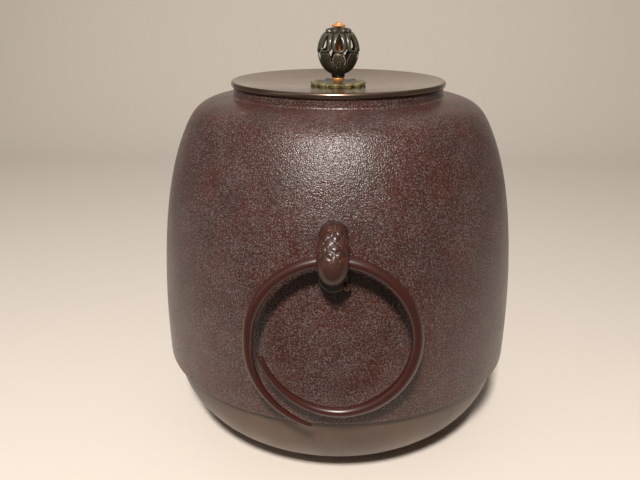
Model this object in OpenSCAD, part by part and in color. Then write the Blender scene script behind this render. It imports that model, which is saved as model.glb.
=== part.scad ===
// Cast-iron tea kettle with pine-cone lugs, hanging rings and a bronze lid with an openwork bud knob.
// Millimetres. The origin is the centre of the flat foot, +Z is up and the front lug faces -Y.

/* [Body] */
// Radius of the wall at its lower edge
seam_r = 113.7; // [105:0.1:125]
// How far the wall's curve is drawn outward above that edge
hip_swell = 1.9; // [0:0.1:8]
// Radius where the wall turns into the shoulder
shoulder_r = 97.3; // [90:0.1:104]
// Height of that turn above the lower edge
shoulder_h = 140.8; // [125:0.1:150]
// Steepness of the wall at that turn, in degrees from level
shoulder_slope = 67; // [58:1:76]
// Outer radius of the upright neck
neck_r = 64.8; // [55:0.1:72]
// Height of the neck's foot above the lower edge
neck_h = 164; // [158:0.5:180]
// Height of the upright neck
neck_rise = 5.6; // [2:0.1:8]
// Thickness of the neck
neck_wall = 3.5; // [2.5:0.1:5]
// Thickness of the cast wall
wall = 4; // [3:0.1:6]

/* [Base] */
// Height of the wall's lower edge above the surface
base_depth = 53; // [40:0.5:65]
// Radius of the flat foot
foot_r = 50; // [42:0.5:65]
// Thickness of the base
base_wall = 4; // [3:0.1:6]
// How far the base's rim reaches up inside the wall
lap = 8; // [5:0.5:14]
// Thickness of the lacquer between the rim and the wall
lacquer_t = 0.5; // [0.3:0.1:1.2]
// Size of the lacquer bead under the wall's edge
bead = 1.6; // [0.8:0.1:3]

/* [Sounding plates] */
// Number of iron plates lacquered to the floor inside
plate_count = 5; // [3:1:6]
// Length of a plate
plate_l = 20; // [12:0.5:26]
// Width of a plate
plate_w = 12; // [8:0.5:16]
// Thickness of a plate
plate_t = 2; // [1:0.1:4]
// Corner radius of a plate
plate_corner = 2; // [1:0.1:3.5]

/* [Lugs] */
// Height of the ring's pivot above the wall's lower edge
pivot_h = 99.8; // [85:0.1:110]
// Length of the pine cone
cone_l = 32; // [28:0.1:36]
// Diameter of the pine cone
cone_d = 17.2; // [15.5:0.1:20]
// Lean of the cone's top towards the wall, in degrees
cone_tilt = 30; // [20:1:40]
// Height of the cone's middle above the pivot
cone_lift = 4; // [3:0.1:6]
// Width of the root that joins the cone to the wall
root_w = 15; // [12:0.1:18]
// Height of the root
root_h = 36; // [32:0.5:42]
// Depth of the root's middle below the pivot
root_drop = 2.3; // [0:0.1:5]
// Iron left between the ring's hole and the root
root_web = 1.5; // [1:0.1:2]
// Diameter of the tenon that is cast into the wall
tenon_d = 9; // [6:0.1:11]
// How far the tenon stands proud inside
tenon_tail = 1.5; // [0.5:0.1:4]
// Size of the twig stub at the foot of the root
stub_d = 4.4; // [3:0.1:6]

/* [Rings] */
// Radius of the ring to the middle of its wire
ring_r = 43.5; // [38:0.1:46]
// Diameter of the wire at its thickest
wire_d = 6.3; // [5:0.1:7.5]
// Gap between the hanging ring and the widest part of the wall
ring_gap = 4.2; // [2.5:0.1:7]
// Room for the wire in the lug's hole
ring_play = 0.4; // [0.2:0.05:0.8]
// Direction of the outer end, in degrees from the right, seen from the front
outer_end = 258; // [240:1:270]
// Turn by which the two ends overlap, in degrees
overlap = 62; // [30:1:75]
// How far the outer end springs out of the circle
outer_spring = 9.6; // [7:0.1:12]
// How far the inner end tucks inside the circle
inner_tuck = 4.6; // [3:0.1:7]
// Wire diameter at the outer end
outer_tip_d = 2.1; // [1.5:0.1:3.5]
// Wire diameter at the inner end
inner_tip_d = 3.2; // [2:0.1:4]

/* [Lid] */
// How far the lid reaches beyond the neck
lid_overhang = 1.3; // [0.5:0.1:4]
// Thickness of the lid
lid_t = 3.6; // [3:0.1:5]
// Depth of the shallow dish in the lid's top
lid_dish = 3.3; // [1:0.1:5]
// Rounding of the lid's rim
lid_edge = 1.5; // [0.8:0.1:1.5]
// Depth of the flange that drops into the mouth
flange_drop = 8; // [5:0.5:12]
// Thickness of that flange
flange_t = 2.5; // [1.5:0.1:4]
// Gap between the flange and the mouth
flange_gap = 0.6; // [0.4:0.1:1.5]

/* [Knob] */
// Diameter of the copper pin
pin_d = 3.2; // [2.5:0.1:4]
// Clearance on the radius between the pin and the knob that turns on it
pin_clear = 0.05; // [0.02:0.01:0.1]
// Play along the pin at each end of the knob
end_play = 0.1; // [0.05:0.05:0.3]
// Number of petals round the knob
petals = 8; // [6:1:10]
// Turn of the knob on its pin as it rests, in degrees
knob_rest = 3.5; // [-20:0.5:20]
// Radius of the upper crown at its foot
crown_r = 13; // [12.4:0.1:15]
// Height of the upper crown
crown_h = 12; // [10:0.1:14]
// Radius of the crown's flat top
crown_top_r = 8.2; // [6.5:0.1:9]
// Width of the groove between two crown petals
groove_w = 1; // [0.6:0.1:1.4]
// Depth of that groove
groove_depth = 0.7; // [0.4:0.1:0.9]
// Width of the window in each crown petal
window_w = 3.8; // [2.6:0.1:4.4]
// Radius of the lower cup at its rim
cup_r = 12.6; // [12:0.1:14]
// Height of the lower cup with its neck
cup_h = 15; // [12:0.1:18]
// Diameter of the cup's neck
cup_neck_d = 8.2; // [7:0.1:10]
// Height of the cup's neck
cup_neck_h = 2.1; // [1:0.1:3]
// Thickness of the knob's walls
knob_wall = 1.6; // [1.2:0.1:2.2]
// Width of the opening between two petals at the step
notch_w = 3.2; // [2.5:0.1:5]
// Diameter of the lobed ruff on the crown
ruff_d = 15.8; // [12:0.1:18]
// Thickness of the ruff
ruff_t = 2.5; // [1.5:0.1:4]
// Diameter of the copper rove on top
rove_d = 8.6; // [7:0.1:11]
// Thickness of a rove
rove_t = 1.5; // [1:0.1:2.5]
// Diameter of the rove under the lid
under_rove_d = 13; // [9:0.1:18]
// Diameter of the pin's peened heads
head_d = 4.6; // [4.4:0.1:6]
// Height of a peened head
head_h = 1.5; // [1:0.1:2.5]
// Diameter of the copper collar under the knob
collar_d = 7.5; // [6:0.1:9]
// Height of the collar
collar_h = 3; // [2:0.1:5]
// Diameter of the flower washer
seat_d = 34.6; // [28:0.1:40]
// Thickness of the flower washer at its rim
seat_t = 2.2; // [1.8:0.1:3]
// Thickness of the flower washer at its middle
seat_mid_t = 1.4; // [1:0.1:1.7]
// Number of lobes round the flower washer
seat_lobes = 12; // [8:1:16]
// Turn of the flower washer's lobes, in degrees
seat_turn = -6; // [-15:0.5:15]

/* [Hidden] */
$fn = 96;
PLATES = [for (i = [1:plate_count]) str("sounding_plate_", i)];

iron = "#4a3531";
base_iron = "#5a4b44";
lacquer = "#2a201c";
ring_iron = "#5b3129";
bronze = "#6d6048";
dark_bronze = "#3c3a2c";
copper = "#b8733f";

// Steps along the curved outlines
wall_steps = 16;
shoulder_steps = 12;
base_steps = 16;
knob_steps = 10;
edge_steps = 5;
dish_steps = 8;

// Shares of a curve's height and width at which its handles stand
hip_share = 1 / 3;
wall_handle = 0.247;
shoulder_handle = 0.73;
neck_handle = 0.61;

seam_z = base_depth;
sleeve_r = seam_r - wall;
base_r = sleeve_r - lacquer_t;
neck_fillet = 1.5;
// Height over which the neck's end of the shoulder still rises
neck_fall = 1.9;
mouth_h = neck_h + neck_rise;
mouth_r = neck_r - neck_wall;
// Clear height inside the wall above the base's rim
rim_room = 2;
// Gap round a piece that is cast into or riveted through another, and under the root that seats on the wall
cast_gap = 0.03;
seat_gap = 0.1;

// Point, direction and offset point at share t of a curve with four handles
function curve_at(p, t) =
    pow(1 - t, 3) * p[0] + 3 * pow(1 - t, 2) * t * p[1] + 3 * (1 - t) * t * t * p[2] + pow(t, 3) * p[3];
function curve_way(p, t) =
    pow(1 - t, 2) * (p[1] - p[0]) + 2 * (1 - t) * t * (p[2] - p[1]) + t * t * (p[3] - p[2]);
function inset_at(p, t, d) =
    let (v = curve_way(p, t) / norm(curve_way(p, t))) curve_at(p, t) + d * [-v.y, v.x];
// Points along a curve, moved to the left of its travel by d
function along(p, steps, d = 0, first = 0) = [for (i = [first:steps]) inset_at(p, i / steps, d)];
function reversed(list) = [for (i = [len(list) - 1:-1:0]) list[i]];
// Points on an arc from angle a to angle b
function arc(centre, r, a, b) =
    [for (i = [0:edge_steps]) let (t = a + (b - a) * i / edge_steps) centre + r * [cos(t), sin(t)]];

// Body outline above the wall's lower edge, as radius and height
shoulder_way = [-cos(shoulder_slope), sin(shoulder_slope)] / sin(shoulder_slope);
shoulder_turn = [shoulder_r, shoulder_h];
wall_curve = [
    [seam_r, 0],
    [seam_r + hip_swell, shoulder_h * hip_share],
    shoulder_turn - wall_handle * shoulder_h * shoulder_way,
    shoulder_turn
];
neck_foot = [neck_r + neck_fillet, neck_h];
shoulder_curve = [
    shoulder_turn,
    shoulder_turn + shoulder_handle * (neck_h - shoulder_h) * shoulder_way,
    neck_foot + [neck_handle * (shoulder_r - neck_r), -neck_fall],
    neck_foot
];
function side_at(inset) =
    concat(along(wall_curve, wall_steps, inset), along(shoulder_curve, shoulder_steps, inset, 1));
outer_side = side_at(0);
inner_curve = side_at(wall);
inner_side = [for (p = inner_curve) if (p.y > lap + rim_room + wall) p];
inner_top = inner_side[len(inner_side) - 1].y;
// Outer radius of the wall at height h above its lower edge
function wall_at(h) = lookup(h, [for (p = outer_side) [p.y, p.x]]);
widest_r = max([for (p = outer_side) p.x]);

// Ring's pivot and the lug's hole round it
pivot_out = widest_r + ring_gap + wire_d / 2;
pivot_z = seam_z + pivot_h;
ring_sag = ring_r - sqrt(ring_r * ring_r - cone_d * cone_d / 4);
bore_d = wire_d + 2 * (ring_sag + ring_play);
root_out = pivot_out - bore_d / 2 - root_web;
root_mid = pivot_h - root_drop;
cone_steps = 20;
// How much fatter the cone's lower half is, and the angle at which its ends are cut flat
cone_fat = 0.12;
cone_end = 82;
// Direction of the twig stub from the middle of the root's lower lobe, in degrees from the right
stub_way = -30;

// Ring's turn, taken clockwise from the outer end
sweep = 360 + overlap;
ring_steps = 70;
wire_sides = 14;
// Turns over which the ends leave the circle and the wire thins
spring_span = 78;
tuck_span = 85;
outer_thin = 100;
inner_thin = 110;
// Powers that set how early the spring, the tuck and the thinning of the wire begin
spring_bend = 1.15;
tuck_bend = 0.75;
thin_bend = 0.75;

// Heights of the lid and of the pieces stacked on its pin
lid_z = seam_z + mouth_h;
lid_top = lid_z + lid_t;
lid_r = neck_r + lid_overhang;
flange_r = mouth_r - flange_gap;
// Lid's dish, from its flat seat for the washer out to the rounded rim
seat_r = seat_d / 2;
dish_r = lid_r - lid_edge;
seat_z = lid_top - lid_dish;
function dish_at(r) = seat_z + lid_dish * (r * r - seat_r * seat_r) / (dish_r * dish_r - seat_r * seat_r);
function dish(from, to, drop) =
    [for (i = [0:dish_steps]) let (r = from + (to - from) * i / dish_steps) [r, dish_at(r) - drop]];
pin_r = pin_d / 2;
turn_r = pin_r + pin_clear;
held_r = pin_r + cast_gap;
collar_z = seat_z + seat_mid_t;
cup_z = collar_z + collar_h + end_play;
crown_z = cup_z + cup_h;
ruff_z = crown_z + crown_h;
top_rove_z = ruff_z + ruff_t + end_play;
pin_top = top_rove_z + rove_t;
pin_foot = seat_z - lid_t - rove_t;
petal_step = 360 / petals;
// Flat step round the collar, width of the flat rim and fatness of the lobes on the flower washer
seat_step = 1;
seat_rim = 3;
seat_fat = 1.08;
ruff_fat = 0.83;
// Reach of an opening below and above the step of the knob, as shares of its width
cup_notch = 1.3;
crown_notch = 0.75;
// Shares of the crown's height at which a petal's window begins and ends
window_from = 0.12;
window_to = 0.86;

// Closed outline of the wall
module body_outline() polygon(concat(
    outer_side,
    [[neck_r, neck_h + neck_fillet], [neck_r, mouth_h], [mouth_r, mouth_h], [mouth_r, inner_top]],
    reversed(inner_side),
    [[sleeve_r, lap + rim_room], [sleeve_r, 0]]
));

// Body without its hollow and a little larger, for cutting the seat of a lug
module body_solid() translate([0, 0, seam_z])
    rotate_extrude() polygon(concat(side_at(-seat_gap), [[0, neck_h], [0, 0]]));

// Places a lug, a ring or a hole at the front, or turned round to the rear
module at_side(rear) rotate([0, 0, rear ? 180 : 0]) children();

module tenon(d, tail) {
    inside = wall_at(root_mid) - wall - tail;
    translate([0, -inside, seam_z + root_mid]) rotate([90, 0, 0])
        cylinder(d = d, h = root_out - root_web - inside);
}

module body_shell() color(iron) difference() {
    translate([0, 0, seam_z]) rotate_extrude() body_outline();
    for (rear = [false, true]) at_side(rear) tenon(tenon_d + 2 * cast_gap, wall);
}

// Bowl with an upright rim, a rounded side and a flat foot
module base_bowl() color(base_iron) rotate_extrude() {
    side_z = base_depth - bead;
    reach = base_r - foot_r;
    side = function(inset) [for (i = [0:base_steps]) let (t = 90 * i / base_steps)
        [foot_r + (reach - inset) * cos(t), side_z - (side_z - inset) * sin(t)]];
    rim_z = seam_z + lap;
    polygon(concat(
        [[base_r, rim_z]],
        side(0),
        [[0, 0], [0, base_wall]],
        reversed(side(base_wall)),
        [[base_r - base_wall, rim_z]]
    ));
}

// Film of lacquer between rim and wall, with a bead under the wall's edge
module seam_lacquer() color(lacquer) translate([0, 0, seam_z]) rotate_extrude()
    polygon([[base_r, -bead], [base_r + bead, 0], [sleeve_r, 0], [sleeve_r, lap], [base_r, lap]]);

// Iron plate on the floor inside, one of a ring of plates
module sounding_plate(i) {
    inset = [plate_w / 2 - plate_corner, plate_l / 2 - plate_corner];
    edge = foot_r - base_wall;
    ring = sqrt(edge * edge - plate_l * plate_l / 4) - plate_w / 2;
    color(iron) rotate([0, 0, 360 * i / plate_count]) translate([ring, 0, base_wall])
        linear_extrude(plate_t) {
            square([plate_w - 2 * plate_corner, plate_l], center = true);
            square([plate_w, plate_l - 2 * plate_corner], center = true);
            for (x = [-1, 1], y = [-1, 1]) translate([x * inset.x, y * inset.y]) circle(plate_corner);
        }
}

// Pine cone, fatter towards its lower end, as a turned egg
module pine_cone() {
    half = cone_l / 2;
    egg = [for (i = [0:cone_steps]) let (a = cone_end * (2 * i / cone_steps - 1))
        [cone_d / 2 * cos(a) * (1 - cone_fat * sin(a)), half * sin(a)]];
    tip = half * sin(cone_end);
    translate([0, -pivot_out, pivot_z + cone_lift]) rotate([-cone_tilt, 0, 0])
        rotate_extrude() polygon(concat([[0, -tip]], egg, [[0, tip]]));
}

// Upright oval root behind the cone
module root() {
    lobe = root_h / 2 - root_w / 2;
    from = wall_at(root_mid + root_h / 2) - wall;
    translate([0, -from, seam_z + root_mid]) rotate([90, 0, 0]) linear_extrude(root_out - from) {
        square([root_w, 2 * lobe], center = true);
        for (y = [-lobe, lobe]) translate([0, y]) circle(d = root_w);
    }
}

// Broken end of a twig, a nub that stands out of the root's lower right
module twig_stub() {
    side = root_w / 2 - stub_d / 8;
    out = root_out - stub_d / 4;
    z = seam_z + root_mid - root_h / 2 + root_w / 2;
    translate([side * cos(stub_way), -out, z + side * sin(stub_way)]) sphere(d = stub_d);
}

module lug() {
    difference() {
        union() {
            root();
            pine_cone();
            twig_stub();
        }
        body_solid();
        translate([0, -pivot_out, pivot_z]) rotate([0, 90, 0])
            cylinder(d = bore_d, h = 2 * cone_d, center = true);
    }
    tenon(tenon_d, tenon_tail);
}

module front_lug() color(iron) lug();
module rear_lug() color(iron) at_side(true) lug();

// Distance from the ring's centre and thickness of the wire after turn u
function ring_at(u) = ring_r
    + outer_spring * pow(max(0, 1 - u / spring_span), spring_bend)
    - inner_tuck * (1 - cos(180 * pow(max(0, 1 - (sweep - u) / tuck_span), tuck_bend))) / 2;
function wire_at(u) = min(
    outer_tip_d + (wire_d - outer_tip_d) * pow(min(1, u / outer_thin), thin_bend),
    inner_tip_d + (wire_d - inner_tip_d) * min(1, (sweep - u) / inner_thin)
) / 2;

// Tapered wire bent to a flat spiral whose ends lie side by side
module ring() {
    points = [for (i = [0:ring_steps], k = [0:wire_sides - 1])
        let (u = sweep * i / ring_steps, a = outer_end - u, b = 360 * k / wire_sides)
        let (r = ring_at(u) + wire_at(u) * cos(b))
        [r * cos(a), wire_at(u) * sin(b), r * sin(a)]];
    near = function(i, k) i * wire_sides + k % wire_sides;
    skin = [for (i = [0:ring_steps - 1], k = [0:wire_sides - 1], half = [0, 1]) half == 0
        ? [near(i, k), near(i + 1, k), near(i + 1, k + 1)]
        : [near(i, k), near(i + 1, k + 1), near(i, k + 1)]];
    caps = [
        [for (k = [0:wire_sides - 1]) near(0, k)],
        [for (k = [wire_sides - 1:-1:0]) near(ring_steps, k)]
    ];
    translate([0, -pivot_out, pivot_z - ring_r]) polyhedron(points, concat(skin, caps));
}

module front_ring() color(ring_iron) ring();
module rear_ring() color(ring_iron) at_side(true) ring();

// Dished lid with a rounded rim and a flange that drops into the mouth
module lid_plate() color(bronze) rotate_extrude() polygon(concat(
    [[held_r, seat_z]],
    dish(seat_r, dish_r, 0),
    arc([dish_r, lid_top - lid_edge], lid_edge, 90, 0),
    arc([dish_r, lid_z + lid_edge], lid_edge, 0, -90),
    [[flange_r, lid_z], [flange_r, lid_z - flange_drop], [flange_r - flange_t, lid_z - flange_drop]],
    dish(flange_r - flange_t, seat_r, lid_t),
    [[held_r, seat_z - lid_t]]
));

// Round plate with lobes on its edge, which touch each other at a fatness of 1
module lobed(d, lobes, fat) {
    lobe_r = fat * PI * d / (2 * lobes);
    circle(d / 2 - lobe_r);
    for (i = [0:lobes - 1]) rotate(360 * i / lobes) translate([d / 2 - lobe_r, 0]) circle(lobe_r, $fn = 48);
}

// Flower washer, dished round its middle
module knob_seat() color(bronze) translate([0, 0, seat_z]) rotate([0, 0, seat_turn]) {
    middle = collar_d / 2 + seat_step;
    slope_to = seat_r - seat_rim;
    intersection() {
        linear_extrude(seat_t) lobed(seat_d, seat_lobes, seat_fat);
        rotate_extrude() polygon([
            [held_r, 0], [seat_d, 0], [seat_d, seat_t], [slope_to, seat_t], [middle, seat_mid_t],
            [held_r, seat_mid_t]
        ]);
    }
}

// Copper collar, drawn in at its foot
module knob_collar() color(copper) translate([0, 0, collar_z]) rotate_extrude() {
    // Shares of the collar's diameter and height at the bends of its outline
    bends = [[0.36, 0], [0.44, 0.25], [0.5, 0.65], [0.47, 1]];
    side = [for (b = bends) [b.x * collar_d, b.y * collar_h]];
    polygon(concat([[held_r, 0]], side, [[held_r, collar_h]]));
}

// Copper pin through knob and lid, peened over a rove at both ends
module knob_pin() color(copper) {
    head = function(z, up) [for (i = [0:edge_steps]) let (a = 90 * i / edge_steps)
        [head_d / 2 * cos(a), z + up * head_h * sin(a)]];
    rotate_extrude() polygon(concat(
        reversed(head(pin_foot, -1)),
        [[pin_r, pin_foot], [pin_r, pin_top]],
        head(pin_top, 1)
    ));
}

module rove(d) rotate_extrude() polygon(concat(
    [[held_r, 0]],
    arc([d / 2 - rove_t / 2, rove_t / 2], rove_t / 2, -90, 90),
    [[held_r, rove_t]]
));

module top_rove() color(copper) translate([0, 0, top_rove_z]) rove(rove_d);
module under_rove() color(copper) translate([0, 0, pin_foot]) rove(under_rove_d);

// Radial cutter of a flat shape that is drawn in width and height
module radial_cut(angle) rotate([0, 0, angle]) rotate([90, 0, 90]) linear_extrude(2 * crown_r) children();

// Lower half of the bud: a cup on a neck, notched between its petals
module knob_cup() {
    floor_z = cup_neck_h + knob_wall;
    bowl_h = cup_h - cup_neck_h;
    // Shares of the rim's radius and of the bowl's height at the two handles of its side
    low = [0.71, 0.1];
    high = [1.02, 0.52];
    side = [
        [cup_neck_d / 2, cup_neck_h],
        [cup_r * low.x, cup_neck_h + bowl_h * low.y],
        [cup_r * high.x, cup_neck_h + bowl_h * high.y],
        [cup_r, cup_h]
    ];
    inner = [for (p = along(side, knob_steps, knob_wall)) if (p.y > floor_z && p.y < cup_h) p];
    color(dark_bronze) translate([0, 0, cup_z]) rotate([0, 0, knob_rest]) difference() {
        rotate_extrude() polygon(concat(
            [[turn_r, 0], [cup_neck_d / 2, 0]],
            along(side, knob_steps),
            [[cup_r - knob_wall, cup_h]],
            reversed(inner),
            [[cup_neck_d / 2, floor_z], [turn_r, floor_z]]
        ));
        for (i = [0:petals - 1]) radial_cut((i + 0.5) * petal_step)
            polygon([[-notch_w / 2, cup_h + 1], [0, cup_h - cup_notch * notch_w], [notch_w / 2, cup_h + 1]]);
    }
}

// Cutter of a groove that follows a side from foot to top
module groove(side, depth, width) rotate([90, 0, 0]) linear_extrude(width, center = true) {
    bed = along(side, knob_steps, depth);
    top = bed[len(bed) - 1] + [0, 1];
    polygon(concat([bed[0] - [0, 1]], bed, [top, [2 * crown_r, top.y], [2 * crown_r, -1]]));
}

// Upper half of the bud: looped petals with teardrop windows, gathered at a flat top
module knob_crown() {
    // Shares of the foot's radius and of the height at the two handles of its side
    low = [1.05, 0.39];
    high = [0.86, 0.8];
    side = [
        [crown_r, 0],
        [crown_r * low.x, crown_h * low.y],
        [crown_r * high.x, crown_h * high.y],
        [crown_top_r, crown_h]
    ];
    roof = crown_h - knob_wall;
    inner = [for (p = along(side, knob_steps, knob_wall)) if (p.y > 0 && p.y < roof) p];
    window_foot = crown_h * window_from + window_w / 2;
    window_tip = crown_h * window_to;
    color(dark_bronze) translate([0, 0, crown_z]) rotate([0, 0, knob_rest]) difference() {
        rotate_extrude() polygon(concat(
            along(side, knob_steps),
            [[turn_r, crown_h], [turn_r, roof], [crown_top_r - knob_wall, roof]],
            reversed(inner),
            [[crown_r - knob_wall, 0]]
        ));
        for (i = [0:petals - 1]) {
            radial_cut(i * petal_step) {
                translate([0, window_foot]) circle(d = window_w, $fn = 32);
                polygon([[-window_w / 2, window_foot], [window_w / 2, window_foot], [0, window_tip]]);
            }
            radial_cut((i + 0.5) * petal_step)
                polygon([[-notch_w / 2, -1], [notch_w / 2, -1], [0, crown_notch * notch_w]]);
            rotate([0, 0, (i + 0.5) * petal_step]) groove(side, groove_depth, groove_w);
        }
    }
}

// Lobed ruff that caps the petals' tips, with its lobes between them
module knob_ruff() color(dark_bronze) translate([0, 0, ruff_z])
    rotate([0, 0, knob_rest + petal_step / 2]) difference() {
        linear_extrude(ruff_t) lobed(ruff_d, petals, ruff_fat);
        translate([0, 0, -ruff_t]) cylinder(r = turn_r, h = 3 * ruff_t);
    }

body_shell();
base_bowl();
seam_lacquer();
front_lug();
rear_lug();
front_ring();
rear_ring();
lid_plate();
knob_seat();
knob_collar();
knob_pin();
top_rove();
under_rove();
knob_cup();
knob_crown();
knob_ruff();
for (i = [1:plate_count]) sounding_plate(i);
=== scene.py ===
"""Looks of the cast-iron tea kettle: finishes, fine relief, a plain studio and the camera."""
import logging
import math
from dataclasses import dataclass
from enum import Enum
from typing import Any, Callable, Optional, Sequence

import bmesh
import bpy
import numpy as np
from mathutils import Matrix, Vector


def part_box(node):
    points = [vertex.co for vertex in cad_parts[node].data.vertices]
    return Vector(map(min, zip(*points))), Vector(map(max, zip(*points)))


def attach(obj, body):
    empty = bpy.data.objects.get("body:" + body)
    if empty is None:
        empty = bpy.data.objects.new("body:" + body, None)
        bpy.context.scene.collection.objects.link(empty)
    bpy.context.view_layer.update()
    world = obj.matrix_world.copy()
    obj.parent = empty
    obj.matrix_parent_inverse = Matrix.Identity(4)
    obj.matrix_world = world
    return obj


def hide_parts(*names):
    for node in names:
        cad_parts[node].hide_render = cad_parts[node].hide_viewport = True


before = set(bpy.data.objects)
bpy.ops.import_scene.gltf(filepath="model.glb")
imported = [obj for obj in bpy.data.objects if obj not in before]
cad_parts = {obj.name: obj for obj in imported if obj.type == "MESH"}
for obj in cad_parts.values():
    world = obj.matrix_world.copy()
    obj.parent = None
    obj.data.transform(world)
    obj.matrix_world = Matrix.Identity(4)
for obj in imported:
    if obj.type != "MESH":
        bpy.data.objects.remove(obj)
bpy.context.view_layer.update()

MM = 0.001
# Axis on which a ring hangs in its lug, in millimetres out from the kettle's axis and above the floor.
PIVOT_OUT, PIVOT_Z = 121.507, 152.8
LOG = logging.getLogger("tea_kettle")

Warp = Callable[[np.ndarray, np.ndarray, np.ndarray], tuple[np.ndarray, np.ndarray]]
Sockets = dict[Any, Any]


class Body(Enum):
    """Moving bodies of the frame."""

    KETTLE = "kettle"
    LID = "lid"
    KNOB = "knob"
    FRONT_RING = "front_ring"
    REAR_RING = "rear_ring"


class Slot(Enum):
    """Finish slots of the record, named when a piece is dressed."""

    WALL = "cast_iron_wall"
    BASE = "cast_iron_base"
    LUG = "lug_iron"
    RING = "ring_iron"
    LID = "bronze_lid"
    FLOWER = "bronze_flower"
    KNOB = "bronze_knob"
    COPPER = "copper"


class Side(Enum):
    """Sides of the kettle that carry a lug, as a turn in degrees about the upright axis."""

    FRONT = 0.0
    REAR = 180.0


class Join(Enum):
    """Ways of joining two closed meshes."""

    UNITE = "UNION"
    CUT = "DIFFERENCE"


def linear(code: str) -> tuple[float, float, float, float]:
    """Turns an sRGB hex colour to linear light.

    Args:
        code: Colour as #rrggbb.

    Returns:
        Red, green, blue and alpha.
    """
    parts = [int(code[i:i + 2], 16) / 255 for i in (1, 3, 5)]
    red, green, blue = (c / 12.92 if c <= 0.04045 else ((c + 0.055) / 1.055) ** 2.4 for c in parts)
    return red, green, blue, 1.0


def per_mm(size: float) -> float:
    """Gives the texture scale whose features are size millimetres across."""
    return 1.0 / (size * MM)


def add(tree: bpy.types.NodeTree, kind: str, values: Optional[Sockets] = None,
        links: Optional[Sockets] = None, **fields: Any) -> bpy.types.Node:
    """Adds a node with its settings and links.

    Args:
        tree: Node tree that gets the node.
        kind: Type of the node.
        values: Constant for each input, by name or number.
        links: Output that feeds each input, by name or number.
        fields: Settings of the node itself.

    Returns:
        The new node.
    """
    node = tree.nodes.new(kind)
    for name, value in fields.items():
        setattr(node, name, value)
    for name, value in (values or {}).items():
        node.inputs[name].default_value = value
    for name, socket in (links or {}).items():
        tree.links.new(socket, node.inputs[name])
    return node


def box_mm(node: str) -> tuple[np.ndarray, np.ndarray]:
    """Gives a node's lowest and highest corner in millimetres."""
    low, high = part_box(node)
    return np.array(low) / MM, np.array(high) / MM


def curve(handles: Sequence[tuple[float, float]], steps: int) -> np.ndarray:
    """Gives points along a curve with four handles.

    Args:
        handles: Radius and height of each handle.
        steps: Number of steps.

    Returns:
        Points as rows of radius and height.
    """
    p = np.array(handles)
    t = np.linspace(0, 1, steps + 1)[:, None]
    return (1 - t) ** 3 * p[0] + 3 * (1 - t) ** 2 * t * p[1] + 3 * (1 - t) * t * t * p[2] + t ** 3 * p[3]


def left_of(points: np.ndarray) -> np.ndarray:
    """Gives the unit direction to the left of travel at each point.

    Args:
        points: Points as rows of radius and height.

    Returns:
        One direction for each point.
    """
    way = np.gradient(points, axis=0)
    way /= np.linalg.norm(way, axis=1)[:, None]
    return np.stack([-way[:, 1], way[:, 0]], axis=1)


def arc(centre: tuple[float, float], radius: float, start: float, end: float, steps: int = 8) -> np.ndarray:
    """Gives points, as rows of two numbers, on an arc between two angles in degrees."""
    t = np.radians(np.linspace(start, end, steps + 1))
    return np.stack([centre[0] + radius * np.cos(t), centre[1] + radius * np.sin(t)], axis=1)


def smooth(x: np.ndarray, low: float, high: float) -> np.ndarray:
    """Rises smoothly from 0 at low to 1 at high."""
    t = np.clip((x - low) / (high - low), 0, 1)
    return t * t * (3 - 2 * t)


def grid_faces(rows: int, cols: int, wrap_rows: bool, wrap_cols: bool, first: int = 0) -> list[list[int]]:
    """Gives the quads of a grid of points.

    Args:
        rows: Number of rows.
        cols: Number of columns.
        wrap_rows: Whether the last row joins the first.
        wrap_cols: Whether the last column joins the first.
        first: Number of the grid's first point.

    Returns:
        Four point numbers for each quad.
    """
    up_to, across_to = rows - (not wrap_rows), cols - (not wrap_cols)
    i, j = (steps.ravel() for steps in np.meshgrid(np.arange(up_to), np.arange(across_to), indexing="ij"))
    up, across = (i + 1) % rows, (j + 1) % cols
    quads = np.stack([i * cols + j, i * cols + across, up * cols + across, up * cols + j], axis=1)
    return (quads + first).tolist()


def tube_faces(rows: int, cols: int) -> list[list[int]]:
    """Gives the faces of a tube of rings of points, with a flat cap on each end."""
    caps = [list(range(cols)), list(range((rows - 1) * cols, rows * cols))[::-1]]
    return grid_faces(rows, cols, False, True) + caps


def slab(outer: np.ndarray, inner: np.ndarray, first: int = 0) -> tuple[np.ndarray, list[list[int]]]:
    """Closes the space between two grids of points.

    Args:
        outer: Grid of points by row and column.
        inner: Second grid of the same shape.
        first: Number of the slab's first point.

    Returns:
        Points as rows of three numbers, and the faces.
    """
    rows, count = outer.shape[:2]
    cols = 2 * count
    faces = grid_faces(rows, cols, False, True, first)
    for start in (first, first + (rows - 1) * cols):
        end = start + cols - 1
        faces += [[start + k, start + k + 1, end - k - 1, end - k] for k in range(count - 1)]
    return np.concatenate([outer, inner[:, ::-1]], axis=1).reshape(-1, 3), faces


def settle(mesh: bpy.types.Mesh, sharp: float) -> None:
    """Welds a mesh, turns its faces outward and shades it smooth up to an angle.

    Args:
        mesh: Mesh to settle.
        sharp: Angle in degrees from which an edge stays sharp.
    """
    work = bmesh.new()
    work.from_mesh(mesh)
    bmesh.ops.remove_doubles(work, verts=work.verts, dist=1e-7)
    bmesh.ops.dissolve_degenerate(work, edges=work.edges, dist=1e-8)
    bmesh.ops.delete(work, geom=[e for e in work.edges if not e.link_faces], context="EDGES")
    bmesh.ops.delete(work, geom=[v for v in work.verts if not v.link_faces], context="VERTS")
    bmesh.ops.recalc_face_normals(work, faces=work.faces)
    work.to_mesh(mesh)
    work.free()
    mesh.shade_smooth()
    mesh.set_sharp_from_angle(angle=math.radians(sharp))


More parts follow.
